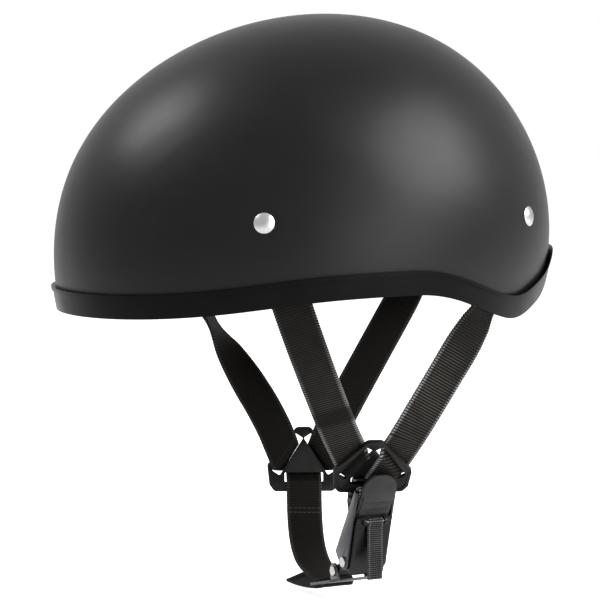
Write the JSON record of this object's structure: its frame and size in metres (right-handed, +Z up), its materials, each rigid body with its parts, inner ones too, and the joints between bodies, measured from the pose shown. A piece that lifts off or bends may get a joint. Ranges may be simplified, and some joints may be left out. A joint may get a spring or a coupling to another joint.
{
  "type": "half shell motorcycle helmet",
  "caption": "Matt black half shell helmet with an arched edge trim, foam liner and pads, Y strap harness with dividers, and a ratchet chin buckle with a sprung release lever.",
  "frame": {"origin": "centre of the head opening, level with the front rim's lower edge", "axes": "+Z up through the crown, -Y towards the front, +X towards the wearer's left, where the buckle hangs"},
  "size_m": [0.2288, 0.2758, 0.3161],
  "materials": {
    "shell": "matt",
    "trim": "matt",
    "foam": "matt, beaded foam",
    "lining": "soft brushed cloth",
    "webbing": "ribbed weave",
    "divider": "satin",
    "rivet": "satin",
    "anchor": "plain",
    "buckle_case": "satin",
    "strap_plate": "satin",
    "pin": "satin",
    "lever": "satin",
    "spring": "plain",
    "ribbon": "ribbed weave",
    "tongue": "satin"
  },
  "bodies": {
    "helmet": {"brow_pad": "lining", "buckle_case": "buckle_case", "comfort_lining": "lining", "crown_pad": "lining", "edge_trim": "trim", "impact_liner": "foam", "left_chin_strap": "webbing", "left_divider": "divider", "left_front_anchor_plate": "anchor", "left_front_rivet": "rivet", "left_front_strap": "webbing", "left_front_washer": "anchor", "left_rear_anchor_plate": "anchor", "left_rear_rivet": "rivet", "left_rear_strap": "webbing", "left_rear_washer": "anchor", "left_side_pad": "lining", "lever_pin": "pin", "lever_spring": "spring", "nape_pad": "lining", "outer_shell": "shell", "right_chin_strap": "webbing", "right_divider": "divider", "right_front_anchor_plate": "anchor", "right_front_rivet": "rivet", "right_front_strap": "webbing", "right_front_washer": "anchor", "right_rear_anchor_plate": "anchor", "right_rear_rivet": "rivet", "right_rear_strap": "webbing", "right_rear_washer": "anchor", "right_side_pad": "lining", "strap_plate": "strap_plate", "tongue_pin": "pin", "toothed_tongue": "tongue"},
    "lever": {"release_lever": "lever", "ribbon_pin": "pin"},
    "ribbon": {"pull_ribbon": "ribbon"}
  },
  "joints": [
    {"name": "release_lever", "type": "hinge", "parent": "helmet", "child": "lever", "pos_m": [0.0478, 0.022, -0.133], "axis": [-0.2079, 0.9781, 0], "range_deg": [0, 25], "stiffness_Nm_per_rad": 0.05, "springref_deg": -28.65},
    {"name": "pull_ribbon", "type": "hinge", "parent": "lever", "child": "ribbon", "pos_m": [0.06078, 0.02476, -0.10994], "axis": [0.2079, -0.9781, 0], "range_deg": [-8, 100]}
  ]
}
